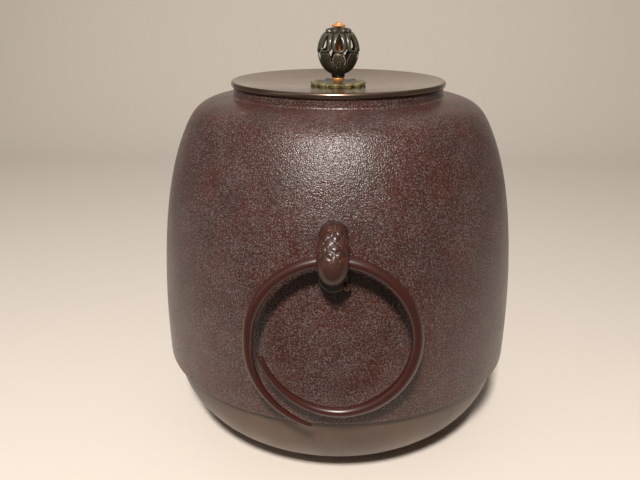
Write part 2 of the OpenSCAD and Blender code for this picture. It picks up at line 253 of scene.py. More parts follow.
def mesh_object(name: str, points: np.ndarray, faces: list[list[int]],
                sharp: float = 38.0) -> bpy.types.Object:
    """Makes an object from points in millimetres.

    Args:
        name: Name of the piece.
        points: Points as rows of three numbers.
        faces: Point numbers of each face.
        sharp: Angle in degrees from which an edge stays sharp.

    Returns:
        The new object.
    """
    mesh = bpy.data.meshes.new(name)
    mesh.from_pydata((points.reshape(-1, 3) * MM).tolist(), [], faces)
    settle(mesh, sharp)
    piece = bpy.data.objects.new(name, mesh)
    bpy.context.scene.collection.objects.link(piece)
    return piece


def lathe_points(outline: np.ndarray, segments: int, warp: Optional[Warp] = None) -> np.ndarray:
    """Turns an outline round the upright axis.

    Args:
        outline: Closed outline as rows of radius and height.
        segments: Number of steps round the axis.
        warp: Changes radius and height by angle.

    Returns:
        Points by step, by outline point.
    """
    turn = np.linspace(0, 2 * np.pi, segments, endpoint=False)[:, None]
    r = np.broadcast_to(outline[:, 0], (segments, len(outline)))
    z = np.broadcast_to(outline[:, 1], (segments, len(outline)))
    if warp:
        r, z = warp(turn, r, z)
    return np.stack([r * np.cos(turn), r * np.sin(turn), z + 0 * r], axis=2)


def lathe(name: str, outline: np.ndarray, segments: int, warp: Optional[Warp] = None,
          sharp: float = 38.0) -> bpy.types.Object:
    """Makes a closed piece from an outline turned round the upright axis."""
    points = lathe_points(outline, segments, warp)
    return mesh_object(name, points, grid_faces(segments, len(outline), True, True), sharp)


def join(piece: bpy.types.Object, other: bpy.types.Object, how: Join, sharp: float = 38.0) -> None:
    """Unites a piece with another mesh or cuts it by that mesh, which is used up.

    Args:
        piece: Object that stays.
        other: Object that is used up.
        how: Whether to unite or to cut.
        sharp: Angle in degrees from which an edge stays sharp.
    """
    tool = piece.modifiers.new("join", "BOOLEAN")
    tool.operation = how.value
    tool.solver = "EXACT"
    tool.object = other
    view = bpy.context.evaluated_depsgraph_get()
    mesh = bpy.data.meshes.new_from_object(piece.evaluated_get(view))
    piece.modifiers.clear()
    piece.data = mesh
    mesh.name = piece.name
    bpy.data.objects.remove(other)
    settle(mesh, sharp)


def set_relief(piece: bpy.types.Object, relief: np.ndarray) -> None:
    """Keeps how proud each point stands, from 0 in a recess to 1 on a rubbed edge; on the lug, low values
    also paint shade.
    """
    layer = piece.data.attributes.new("relief", "FLOAT", "POINT")
    layer.data.foreach_set("value", relief.astype(np.float32))


def points_of(piece: bpy.types.Object) -> np.ndarray:
    """Reads a piece's points in millimetres.

    Args:
        piece: Object to read.

    Returns:
        Points as rows of three numbers.
    """
    flat = np.empty(3 * len(piece.data.vertices))
    piece.data.vertices.foreach_get("co", flat)
    return flat.reshape(-1, 3) / MM


def move_points(piece: bpy.types.Object, points: np.ndarray) -> None:
    """Moves a piece's points to new places in millimetres."""
    piece.data.vertices.foreach_set("co", (points * MM).ravel())
    piece.data.update()


def lobe_gap(turn: np.ndarray, lobes: int, first: float, sharp: float) -> np.ndarray:
    """Gives 0 on the crest of each lobe round a rim and 1 midway between two lobes."""
    return np.abs(np.sin(lobes / 2 * (turn - math.radians(first)))) ** sharp


def turned(points: np.ndarray, degrees: float) -> np.ndarray:
    """Turns points about the upright axis.

    Args:
        points: Points whose last axis is x, y and z.
        degrees: Turn, seen from above.

    Returns:
        The turned points.
    """
    c, s = math.cos(math.radians(degrees)), math.sin(math.radians(degrees))
    x, y = points[..., 0], points[..., 1]
    return np.stack([c * x - s * y, s * x + c * y, points[..., 2]], axis=-1)


@dataclass
class Surface:
    """Nodes of a material while it is made.

    Attributes:
        tree: Node tree of the material.
        shader: Surface shader.
        place: Place on the piece.
        tone: Blotched colour.
        gloss: Varied roughness.
        grain: Height of the grain from 0 to 1.
    """

    tree: bpy.types.NodeTree
    shader: bpy.types.Node
    place: bpy.types.NodeSocket
    tone: bpy.types.NodeSocket
    gloss: bpy.types.NodeSocket
    grain: bpy.types.NodeSocket


@dataclass(frozen=True, kw_only=True)
class Finish:
    """A surface as it was made, with the colour, gloss and grain that this gives.

    Attributes:
        name: Real material and making.
        colour: Main colour.
        second: Colour of the blotches.
        roughness: Middle roughness.
        spread: How far the roughness varies.
        metallic: 1 for bare metal, 0 for lacquer or oxide over it.
        coat: Share of the surface under clear lacquer that hands have polished.
        grain_mm: Size of the surface grain.
        grain_height_mm: Height of that grain.
        blotch_mm: Size of the blotches.
    """

    name: str
    colour: str
    second: str
    roughness: float
    spread: float
    metallic: float = 0.0
    coat: float = 0.0
    grain_mm: float
    grain_height_mm: float
    blotch_mm: float

    def material(self) -> bpy.types.Material:
        """Gives the finish's material, which is made once."""
        return bpy.data.materials.get(self.name) or self.make()

    def make(self) -> bpy.types.Material:
        """Makes the material.

        Returns:
            The new material.
        """
        material = bpy.data.materials.new(self.name)
        material.use_nodes = True
        tree = material.node_tree
        tree.nodes.clear()
        shader = add(tree, "ShaderNodeBsdfPrincipled", {
            "Metallic": self.metallic, "Coat Weight": self.coat, "Coat Roughness": self.roughness})
        add(tree, "ShaderNodeOutputMaterial", links={"Surface": shader.outputs["BSDF"]})
        place = add(tree, "ShaderNodeTexCoord").outputs["Object"]
        blotch = add(tree, "ShaderNodeTexNoise", {"Scale": per_mm(self.blotch_mm), "Detail": 4.0},
                     {"Vector": place})
        share = add(tree, "ShaderNodeMapRange", {"From Min": 0.35, "From Max": 0.65},
                    {"Value": blotch.outputs[0]})
        tone = add(tree, "ShaderNodeMix", {6: linear(self.colour), 7: linear(self.second)},
                   {0: share.outputs[0]}, data_type="RGBA")
        gloss = add(tree, "ShaderNodeMapRange", {
            "From Min": 0.3, "From Max": 0.7, "To Min": self.roughness - self.spread,
            "To Max": self.roughness + self.spread}, {"Value": blotch.outputs[0]})
        grain = add(tree, "ShaderNodeTexNoise", {"Scale": per_mm(self.grain_mm), "Detail": 1.5},
                    {"Vector": place})
        self.paint(Surface(tree, shader, place, tone.outputs[2], gloss.outputs[0], grain.outputs[0]))
        return material

    def paint(self, surface: Surface) -> None:
        """Links the colour, gloss and grain to the shader.

        Args:
            surface: Nodes of the material.
        """
        tree, shader = surface.tree, surface.shader
        bump = add(tree, "ShaderNodeBump", {"Strength": 1.0, "Distance": self.grain_height_mm * MM},
                   {"Height": surface.grain})
        tree.links.new(surface.tone, shader.inputs["Base Color"])
        tree.links.new(surface.gloss, shader.inputs["Roughness"])
        tree.links.new(bump.outputs[0], shader.inputs["Normal"])


@dataclass(frozen=True, kw_only=True)
class SandCastIron(Finish):
    """Iron from a sand mould, baked with lacquer: a dull skin of grit whose tips are pale specks, partly grey
    iron and partly painted glints.

    Attributes:
        speck: Colour of the pale tips, partly grey iron and partly painted glints.
        speck_share: How much of that pale colour shows.
        pit_mm: Size of the pits between the grit.
        patch_mm: Size of the patches in which the grey gathers.
        patch_pull: How strongly it gathers there.
    """

    speck: str
    speck_share: float
    pit_mm: float
    patch_mm: float
    patch_pull: float = 0.2

    def paint(self, surface: Surface) -> None:
        """Adds grit, pits and pale tips, partly grey iron and partly painted glints.

        Args:
            surface: Nodes of the material.
        """
        tree, place, grain = surface.tree, surface.place, surface.grain
        pits = add(tree, "ShaderNodeTexVoronoi", {"Scale": per_mm(self.pit_mm)}, {"Vector": place})
        patch = add(tree, "ShaderNodeTexNoise", {"Scale": per_mm(self.patch_mm), "Detail": 3.0},
                    {"Vector": place})
        gather = add(tree, "ShaderNodeMath", {1: self.patch_pull}, {0: patch.outputs[0], 2: grain},
                     operation="MULTIPLY_ADD")
        # Pale specks on the grit's tips: partly grey iron, partly painted glints.
        tips = add(tree, "ShaderNodeMapRange", {
            "From Min": 0.57, "From Max": 0.84, "To Max": self.speck_share}, {"Value": gather.outputs[0]})
        colour = add(tree, "ShaderNodeMix", {7: linear(self.speck)},
                     {0: tips.outputs[0], 6: surface.tone}, data_type="RGBA")
        height = add(tree, "ShaderNodeMath", links={0: pits.outputs["Distance"], 1: grain, 2: grain},
                     operation="MULTIPLY_ADD")
        surface.tone, surface.grain = colour.outputs[2], height.outputs[0]
        super().paint(surface)


@dataclass(frozen=True, kw_only=True)
class RubbedMetal(Finish):
    """Metal under patina or lacquer that hands have rubbed: glossy on its edges, dark in its recesses.

    Attributes:
        recess: Colour in the recesses, which on the lug also stands as painted shade.
        recess_roughness: Roughness added there.
    """

    recess: str
    recess_roughness: float

    def paint(self, surface: Surface) -> None:
        """Darkens and dulls the recesses and the places painted as shade.

        Args:
            surface: Nodes of the material.
        """
        tree = surface.tree
        proud = add(tree, "ShaderNodeAttribute", attribute_name="relief").outputs["Fac"]
        colour = add(tree, "ShaderNodeMix", {6: linear(self.recess)}, {0: proud, 7: surface.tone},
                     data_type="RGBA")
        dull = add(tree, "ShaderNodeMapRange", {"To Min": self.recess_roughness, "To Max": 0.0},
                   {"Value": proud})
        rough = add(tree, "ShaderNodeMath", links={0: surface.gloss, 1: dull.outputs[0]}, operation="ADD")
        surface.tone, surface.gloss = colour.outputs[2], rough.outputs[0]
        super().paint(surface)


@dataclass(frozen=True, kw_only=True)
class TurnedBronze(Finish):
    """Bronze turned on a lathe and patinated: a still, blurred mirror with faint rings.

    Attributes:
        ring_mm: Spacing of the turning marks, drawn coarser than the real 0.3 mm so that they show.
        ring_height_mm: Height of the marks.
        edge_mm: Radius from which the rim is scuffed dull.
        edge_fade_mm: Width over which the scuffing sets in.
        edge_roughness: Roughness added there.
    """

    ring_mm: float
    ring_height_mm: float
    edge_mm: float
    edge_fade_mm: float = 1.0
    edge_roughness: float

    def paint(self, surface: Surface) -> None:
        """Adds the turning marks and the scuffed rim.

        Args:
            surface: Nodes of the material.
        """
        tree = surface.tree
        axes = add(tree, "ShaderNodeSeparateXYZ", links={0: surface.place})
        flat = add(tree, "ShaderNodeCombineXYZ", links={0: axes.outputs[0], 1: axes.outputs[1]})
        away = add(tree, "ShaderNodeVectorMath", links={0: flat.outputs[0]}, operation="LENGTH")
        beat = add(tree, "ShaderNodeMath", {1: 2 * math.pi * per_mm(self.ring_mm)},
                   {0: away.outputs["Value"]}, operation="MULTIPLY")
        marks = add(tree, "ShaderNodeMath", links={0: beat.outputs[0]}, operation="SINE")
        rings = add(tree, "ShaderNodeBump", {"Strength": 1.0, "Distance": self.ring_height_mm * MM},
                    {"Height": marks.outputs[0]})
        scuff = add(tree, "ShaderNodeMapRange", {
            "From Min": self.edge_mm * MM, "From Max": (self.edge_mm + self.edge_fade_mm) * MM,
            "To Max": self.edge_roughness}, {"Value": away.outputs["Value"]})
        rough = add(tree, "ShaderNodeMath", links={0: surface.gloss, 1: scuff.outputs[0]}, operation="ADD")
        surface.gloss = rough.outputs[0]
        super().paint(surface)
        grain_bump = surface.shader.inputs["Normal"].links[0].from_node
        tree.links.new(rings.outputs[0], grain_bump.inputs["Normal"])


# Grit from the sand mould under thin baked lacquer: a dull red-brown skin that sparkles grey in the light;
# pale specks on the grit's tips are partly grey iron and partly painted glints.
# Real grit, taken as about 0.5 mm, is drawn coarser so that it shows.
WALL_IRON = SandCastIron(
    name="sand_cast_iron_baked_lacquer", colour="#431e16", second="#3a1e18", roughness=0.3, spread=0.03,
    grain_mm=0.76, grain_height_mm=0.2, blotch_mm=20.0, speck="#8f8784", speck_share=0.5, pit_mm=0.85,
    patch_mm=18.0)
# Same iron rubbed smooth and burnt by the fire: greyer, with a low sheen and hardly any grit.
BASE_IRON = SandCastIron(
    name="sand_cast_iron_smoothed_base", colour="#5a4438", second="#4c382e", roughness=0.38, spread=0.05,
    grain_mm=0.9, grain_height_mm=0.06, blotch_mm=30.0, speck="#6a5f57", speck_share=0.3, pit_mm=1.1,
    patch_mm=14.0)
# Rough cast scraps lacquered to the floor: dull and rusty, seen only with the lid off.
PLATE_IRON = SandCastIron(
    name="sand_cast_iron_plate", colour="#4a3a34", second="#5a3a2c", roughness=0.6, spread=0.08,
    grain_mm=1.0, grain_height_mm=0.3, blotch_mm=9.0, speck="#6d6660", speck_share=0.3, pit_mm=1.2,
    patch_mm=6.0)
# Hammered wire under baked lacquer, worn by hands: dark red with one bright line along it.
RING_IRON = Finish(
    name="forged_iron_baked_lacquer", colour="#3d150e", second="#34130c", roughness=0.34, spread=0.05,
    coat=0.3, grain_mm=1.6, grain_height_mm=0.02, blotch_mm=14.0)
# Worn scales under lacquer: red-brown and glossy on top, nearly black where the lacquer gathers; that dark
# colour is also painted shade on the root under the cone and on the cone's lower end.
LUG_IRON = RubbedMetal(
    name="cast_iron_rubbed_lacquer", colour="#4f2a20", second="#41251c", roughness=0.27, spread=0.06,
    coat=0.12, grain_mm=1.1, grain_height_mm=0.14, blotch_mm=6.0, recess="#24130d", recess_roughness=0.2)
# Lacquer mixed with iron powder: a dark, dull line in the seam.
SEAM_PUTTY = Finish(
    name="urushi_lacquer_putty", colour="#241a17", second="#2d211d", roughness=0.5, spread=0.08,
    grain_mm=1.5, grain_height_mm=0.15, blotch_mm=12.0)
# Bronze turned, polished and pickled brown: a soft mirror that blurs what stands on it.
LID_BRONZE = TurnedBronze(
    name="turned_bronze_brown_patina", colour="#847062", second="#796457", roughness=0.12, spread=0.03,
    metallic=1.0, grain_mm=0.9, grain_height_mm=0.01, blotch_mm=24.0, ring_mm=1.1, ring_height_mm=0.004,
    edge_mm=64.4, edge_roughness=0.13)
# Cast bronze under an olive oxide: gold where the lobes are rubbed, dark green-brown between them.
FLOWER_BRONZE = RubbedMetal(
    name="cast_bronze_olive_patina", colour="#867950", second="#6b6242", roughness=0.22, spread=0.05,
    grain_mm=0.8, grain_height_mm=0.03, blotch_mm=4.0, recess="#2b281a", recess_roughness=0.15)
# Cast and chased bronze under a dark oxide, long handled: dark olive, with sharp pale lights on the edges.
KNOB_BRONZE = RubbedMetal(
    name="cast_bronze_dark_patina", colour="#524b3a", second="#413d30", roughness=0.2, spread=0.04,
    grain_mm=0.7, grain_height_mm=0.03, blotch_mm=3.5, recess="#100f0b", recess_roughness=0.2)
# Bare copper hammered to shape: bright orange, with a broken, satin shine.
COPPER = Finish(
    name="hammered_copper", colour="#f2b87e", second="#e2a05e", roughness=0.68, spread=0.08, metallic=1.0,
    grain_mm=0.9, grain_height_mm=0.16, blotch_mm=3.0)


def dress(piece: bpy.types.Object, finish: Finish, body: Body, slot: Slot, *nodes: str) -> None:
    """Gives a piece its finish and its body, and hides the nodes that it stands for.

    Args:
        piece: Piece to dress.
        finish: Finish of its surface.
        body: Body that it moves with.
        slot: Slot of the record; not used.
        nodes: Nodes that it replaces.
    """
    piece.data.materials.clear()
    piece.data.materials.append(finish.material())
    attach(piece, body.value)
    if nodes:
        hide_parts(*nodes)
    LOG.info("%s: %d faces, %s", piece.name, len(piece.data.polygons), finish.name)


def paint_node(node: str, finish: Finish) -> None:
    """Gives a node that keeps its own shape a finish.

    Args:
        node: Name of the node.
        finish: Finish of its surface.
    """
    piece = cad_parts[node]
    piece.data.materials.clear()
    piece.data.materials.append(finish.material())
    LOG.info("%s: kept, %s", node, finish.name)


@dataclass
class KettleBody:
    """Cast wall, fitted base, lacquer seam and sounding plates, in millimetres."""

    wall_handles: tuple = ((113.7, 0.0), (115.6, 46.93), (112.06, 106.02), (97.3, 140.8))
    shoulder_handles: tuple = ((97.3, 140.8), (90.11, 157.74), (86.125, 162.1), (66.3, 164.0))
    neck_r: float = 64.8
    neck_fillet: float = 1.5
    mouth_r: float = 61.3
    wall: float = 4.0
    sleeve_h: float = 10.0
    edge_round: float = 0.7
    foot_r: float = 50.0
    base_wall: float = 4.0
    bead: float = 1.6
    chamfer: float = 0.3
    wave: float = 0.22
    segments: int = 320

    def side(self) -> np.ndarray:
        """Gives the wall's outer side as radius and height above its lower edge."""
        return np.vstack([curve(self.wall_handles, steps=72), curve(self.shoulder_handles, steps=44)[1:]])

    def radius_at(self, z: np.ndarray) -> np.ndarray:
        """Gives the wall's outer radius at heights above the floor."""
        side = self.side()
        return np.interp(z - box_mm("body_shell")[0][2], side[:, 1], side[:, 0])

    def uneven(self, turn: np.ndarray, r: np.ndarray, z: np.ndarray) -> tuple[np.ndarray, np.ndarray]:
        """Draws the casting a little inward in slow waves, by angle, radius and height."""
        waves = (np.sin(3 * turn + 0.031 * z) + np.sin(5 * turn - 0.047 * z + 1.3)
                 + np.sin(9 * turn + 0.09 * z + 4.0))
        return r - self.wave * (0.5 + waves / 6), z

    def build_wall(self) -> bpy.types.Object:
        """Builds the wall with its neck and mouth.

        Returns:
            The wall.
        """
        low, high = box_mm("body_shell")
        side = self.side()
        inner = side + self.wall * left_of(side)
        inner = inner[(inner[:, 1] > self.sleeve_h + self.wall) & (inner[:, 0] > self.mouth_r)]
        top = high[2] - low[2]
        e, c = self.edge_round, self.chamfer
        sleeve_r = side[0, 0] - self.wall
        outline = np.vstack([
            arc((side[0, 0] - e, e), e, -90, 0, steps=4), side[side[:, 1] > e],
            arc(side[-1] + [0, self.neck_fillet], self.neck_fillet, -90, -180, steps=6)[1:],
            [[self.neck_r, top - c], [self.neck_r - c, top]],
            [[self.mouth_r + c, top], [self.mouth_r, top - c], [self.mouth_r, inner[-1, 1]]],
            inner[::-1], [[sleeve_r, self.sleeve_h], [sleeve_r, 0.0]],
        ])
        return lathe("kettle_wall", outline + [0, low[2]], self.segments, self.uneven, sharp=30)

    def build_base(self) -> bpy.types.Object:
        """Builds the bowl with its rim and flat foot.

        Returns:
            The base.
        """
        high = box_mm("base_bowl")[1]
        base_r = high[0]
        seam = box_mm("body_shell")[0][2]
        side_z = seam - self.bead
        t = np.radians(np.linspace(0, 90, 49))

        def bowl(inset: float) -> np.ndarray:
            """Gives the bowl's side, moved inward."""
            reach = base_r - self.foot_r - inset
            return np.stack([self.foot_r + reach * np.cos(t), side_z - (side_z - inset) * np.sin(t)], axis=1)

        outline = np.vstack([
            [[base_r, high[2]]], bowl(0), [[0, 0], [0, self.base_wall]], bowl(self.base_wall)[::-1],
            [[base_r - self.base_wall, high[2]]],
        ])
        return lathe("kettle_base", outline, self.segments, sharp=30)

    def build(self) -> None:
        """Builds and dresses the body's pieces."""
        dress(self.build_wall(), WALL_IRON, Body.KETTLE, Slot.WALL, "body_shell")
        dress(self.build_base(), BASE_IRON, Body.KETTLE, Slot.BASE, "base_bowl")
        paint_node("seam_lacquer", SEAM_PUTTY)
        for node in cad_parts:
            if node.startswith("sounding_plate"):
                paint_node(node, PLATE_IRON)


@dataclass
class PineConeLug:
    """Lug cast as a pine cone on an oval root, with a hole for the ring, in millimetres."""

    body: KettleBody
    side: Side
    pivot_out: float = PIVOT_OUT
    pivot_z: float = PIVOT_Z
    bore_d: float = 8.817
    cone_l: float = 32.0
    cone_d: float = 17.2
    cone_fat: float = 0.12
    tilt: float = 30.0
    lift: float = 4.0
    scales_round: int = 9
    scale_l: float = 6.0
    scale_depth: float = 0.6
    groove_w: float = 0.38
    skin_reach: float = 1.2
    root_w: float = 15.0
    root_h: float = 36.0
    root_drop: float = 2.3
    root_out: float = 115.599
    root_round: float = 1.6
    # A relief of 0 paints the root in the dark recess colour: painted shade where the cone shades it.
    root_relief: float = 0.0
    stub_d: float = 4.4
    stub_place: tuple = (7.0, -115.6, 136.4)
    stub_relief: float = 1.0
    stub_reach: float = 0.62
    seat: float = 0.1
    segments: int = 200
    steps: int = 131

    def relief_at(self, turn: np.ndarray, way: np.ndarray, share: np.ndarray) -> np.ndarray:
        """Gives how proud the scales stand, from 0 in the grooves to 1.

        Args:
            turn: Angle round the cone.
            way: Distance along the cone in millimetres.
            share: Place along the cone from -1 at its foot to 1 at its top.

        Returns:
            Height of the scales from 0 to 1.
        """
        along = way / self.scale_l
        bend = 0.16 * np.sin(3 * turn + 1.9 * along) + 0.12 * np.sin(5 * turn - 2.7 * along + 2.0)
        across = self.scales_round * turn / (2 * np.pi)
        a, b = across + along + bend, across - along + 0.7 * bend
        edge = np.minimum(np.minimum(a % 1, 1 - a % 1), np.minimum(b % 1, 1 - b % 1))
        row, column = np.floor(a) % self.scales_round, np.floor(b) % self.scales_round
        kept = 0.55 + 0.45 * np.sin(2.3 * row + 4.1 * column + 0.7)
        worn = kept * (0.08 + 0.92 * smooth(share, -0.6, -0.1))
        return 1 - worn * (1 - smooth(edge, 0.0, self.groove_w))

    def meridian(self) -> tuple[np.ndarray, np.ndarray, np.ndarray]:
        """Gives the cone's side.

        Returns:
            Radius, height and distance along it.
        """
        a = np.radians(np.linspace(-90, 90, self.steps))
        r = self.cone_d / 2 * np.cos(a) * (1 - self.cone_fat * np.sin(a))
        h = self.cone_l / 2 * np.sin(a)
        way = np.concatenate([[0], np.cumsum(np.hypot(np.diff(r), np.diff(h)))])
        return np.maximum(r, 0), h, way

    def wall_block(self) -> bpy.types.Object:
        """Builds the stretch of wall behind the lug, for cutting the seat.

        Returns:
            The block.
        """
        z = np.linspace(self.pivot_z - self.root_h, self.pivot_z + self.root_h, 73)[:, None]
        turn = np.radians(-90 + np.linspace(-self.root_w, self.root_w, 61))[None, :]
        face = self.body.radius_at(z) + self.seat

        def grid(r: np.ndarray) -> np.ndarray:
            """Gives the points of the stretch at a radius."""
            return np.stack([r * np.cos(turn), r * np.sin(turn), z + 0 * r * turn], axis=2)

        return mesh_object("wall_block", *slab(grid(face), grid(face - self.root_w)))

    def place(self, points: np.ndarray) -> np.ndarray:
        """Leans the cone towards the wall and moves it to the pivot.

        Args:
            points: Points of the upright cone, as rows of three numbers.

        Returns:
            The placed points.
        """
        c, s = math.cos(math.radians(self.tilt)), math.sin(math.radians(self.tilt))
        x, y, z = points.T
        return np.stack([x, y * c + z * s - self.pivot_out, z * c - y * s + self.pivot_z + self.lift], axis=1)

    def unplace(self, points: np.ndarray) -> np.ndarray:
        """Takes placed points back to the upright cone.

        Args:
            points: Placed points, as rows of three numbers.

        Returns:
            Points of the upright cone.
        """
        c, s = math.cos(math.radians(self.tilt)), math.sin(math.radians(self.tilt))
        x, y, z = points[:, 0], points[:, 1] + self.pivot_out, points[:, 2] - self.pivot_z - self.lift
        return np.stack([x, y * c - z * s, y * s + z * c], axis=1)

    def cone(self) -> bpy.types.Object:
        """Builds the scaled cone.

        Returns:
            The cone.
        """
        r, h, way = self.meridian()
        turn = np.linspace(0, 2 * np.pi, self.segments, endpoint=False)[:, None]
        relief = self.relief_at(turn, way[None, :], (h / h[-1])[None, :])
        ends = smooth(r / r.max(), 0.0, 0.25)
        sunk = np.maximum(r - self.scale_depth * ends * (1 - relief), 0)
        points = np.stack([sunk * np.cos(turn), sunk * np.sin(turn), np.broadcast_to(h, sunk.shape)], axis=2)
        placed = self.place(points.reshape(-1, 3))
        return mesh_object("cone", placed, grid_faces(self.segments, len(h), True, False), sharp=60)

    def root(self) -> bpy.types.Object:
        """Builds the oval root.

        Returns:
            The root.
        """
        lobe = (self.root_h - self.root_w) / 2
        middle = self.pivot_z - self.root_drop

        def oval(inset: float) -> np.ndarray:
            """Gives the root's outline, moved inward."""
            radius = self.root_w / 2 - inset
            halves = (lobe, 0, 180), (-lobe, 180, 360)
            return np.vstack([arc((0, z), radius, start, end, steps=24) for z, start, end in halves])

        flat = oval(0)
        sunk = float(self.body.radius_at(np.array([middle + self.root_h / 2]))[0]) - self.body.wall
        rings = [np.column_stack([flat[:, 0], np.full(len(flat), -sunk), flat[:, 1] + middle])]
        for t in np.radians(np.linspace(0, 90, 6)):
            flat = oval(self.root_round * (1 - math.cos(t)))
            out = self.root_out - self.root_round * (1 - math.sin(t))
            rings.append(np.column_stack([flat[:, 0], np.full(len(flat), -out), flat[:, 1] + middle]))
        return mesh_object("root", np.concatenate(rings), tube_faces(len(rings), len(flat)), sharp=50)

    def stub(self) -> bpy.types.Object:
        """Builds the knotty twig end at the root's foot.

        Returns:
            The twig end.
        """
        steps = np.radians(np.linspace(-90, 90, 21))
        outline = self.stub_d / 2 * np.stack([np.cos(steps), np.sin(steps)], axis=1)
        knots = lathe_points(outline, 32, lambda turn, r, h: (r * (1 + 0.06 * np.sin(3 * turn + h)), h))
        points = knots.reshape(-1, 3) + self.stub_place
        return mesh_object("stub", points, grid_faces(32, len(outline), True, False), sharp=60)

    def build(self) -> None:
        """Builds, drills and dresses the lug."""
        name = "front_lug" if self.side is Side.FRONT else "rear_lug"
        piece = self.cone()
        piece.name = name + "_pine_cone"
        for part in (self.root(), self.stub()):
            join(piece, part, Join.UNITE, sharp=50)
        bore = arc((-self.pivot_out, self.pivot_z), self.bore_d / 2, 0, 352.5, steps=47)
        ends = [np.column_stack([np.full(len(bore), x), bore]) for x in (-self.cone_d, self.cone_d)]
        drill = mesh_object("bore", np.concatenate(ends), tube_faces(2, len(bore)))
        for tool in (drill, self.wall_block()):
            join(piece, tool, Join.CUT, sharp=50)
        set_relief(piece, self.relief_of(points_of(piece)))
        move_points(piece, turned(points_of(piece), self.side.value))
        dress(piece, LUG_IRON, Body.KETTLE, Slot.LUG, name)

    def relief_of(self, points: np.ndarray) -> np.ndarray:
        """Reads how proud each point of the finished lug stands.

        Args:
            points: Points as rows of three numbers, on the front side.

        Returns:
            Height of the scales from 0 to 1, and one value each for the twig end and the root, the root's
            value painting it dark as shade under the cone.
        """
        r, h, way = self.meridian()
        upright = self.unplace(points)
        turn = np.arctan2(upright[:, 1], upright[:, 0])
        along = np.clip(upright[:, 2], h[0], h[-1])
        relief = self.relief_at(turn, np.interp(along, h, way), along / h[-1])
        # Darker towards the cone's lower end: painted shade on the part that faces down.
        relief *= 0.55 + 0.45 * smooth(along / h[-1], -0.7, -0.1)
        off = np.hypot(upright[:, 0], upright[:, 1]) - np.interp(along, h, r)
        knot = np.linalg.norm(points - self.stub_place, axis=1) < self.stub_reach * self.stub_d
        # The root takes painted shade; the twig end takes its rubbed colour.
        rest = np.where(knot, self.stub_relief, self.root_relief)
        return np.where(np.abs(off) < self.skin_reach * self.scale_depth, relief, rest)


@dataclass
class SpiralRing:
    """Forged ring of tapered wire whose ends overlap, in millimetres and degrees."""

    side: Side
    ring_r: float = 43.5
    wire_d: float = 6.3
    pivot_out: float = PIVOT_OUT
    pivot_z: float = PIVOT_Z
    outer_end: float = 258.0
    sweep: float = 422.0
    outer_spring: float = 9.6
    inner_tuck: float = 4.6
    outer_tip_d: float = 2.1
    inner_tip_d: float = 3.2
    spring_span: float = 78.0
    tuck_span: float = 85.0
    outer_thin: float = 100.0
    inner_thin: float = 110.0
    end_bevel: float = 0.35
    dent: float = 0.012
    stations: int = 300
    sides: int = 28

    def centre_at(self, u: np.ndarray) -> np.ndarray:
        """Gives the wire's distance from the ring's centre after turn u.

        Args:
            u: Turn from the outer end.

        Returns:
            Distances in millimetres.
        """
        spring = np.maximum(0, 1 - u / self.spring_span) ** 1.15
        tuck = np.maximum(0, 1 - (self.sweep - u) / self.tuck_span) ** 0.75
        return self.ring_r + self.outer_spring * spring - self.inner_tuck * (1 - np.cos(np.pi * tuck)) / 2

    def thickness_at(self, u: np.ndarray) -> np.ndarray:
        """Gives the wire's radius after turn u.

        Args:
            u: Turn from the outer end.

        Returns:
            Radii in millimetres.
        """
        from_outer = np.minimum(1, u / self.outer_thin) ** 0.75
        from_inner = np.minimum(1, (self.sweep - u) / self.inner_thin)
        outer = self.outer_tip_d + (self.wire_d - self.outer_tip_d) * from_outer
        inner = self.inner_tip_d + (self.wire_d - self.inner_tip_d) * from_inner
        return np.minimum(outer, inner) / 2

    def build(self) -> None:
        """Builds and dresses the ring."""
        body = Body.FRONT_RING if self.side is Side.FRONT else Body.REAR_RING
        bevel = self.end_bevel
        u = np.linspace(0, self.sweep, self.stations)
        edge = np.degrees(bevel / self.ring_r)
        u = np.sort(np.concatenate([u, [0.0, edge, self.sweep - edge, self.sweep]]))
        blows = (1 + np.sin(0.21 * u) * np.sin(0.083 * u + 1)) / 2
        wire = self.thickness_at(u) * (1 - self.dent * blows)
        wire[[0, -1]] -= bevel
        wire[1], wire[-2] = wire[2] - bevel, wire[-3] - bevel
        b = np.linspace(0, 2 * np.pi, self.sides, endpoint=False)[None, :]
        a = np.radians(self.outer_end - u)[:, None]
        r = self.centre_at(u)[:, None] + wire[:, None] * np.cos(b)
        points = np.stack([r * np.cos(a), wire[:, None] * np.sin(b) + 0 * r, r * np.sin(a)], axis=2)
        points = turned(points + [0, -self.pivot_out, self.pivot_z - self.ring_r], self.side.value)
        piece = mesh_object(body.value + "_forged", points, tube_faces(len(u), self.sides), sharp=40)
        dress(piece, RING_IRON, body, Slot.RING, body.value)


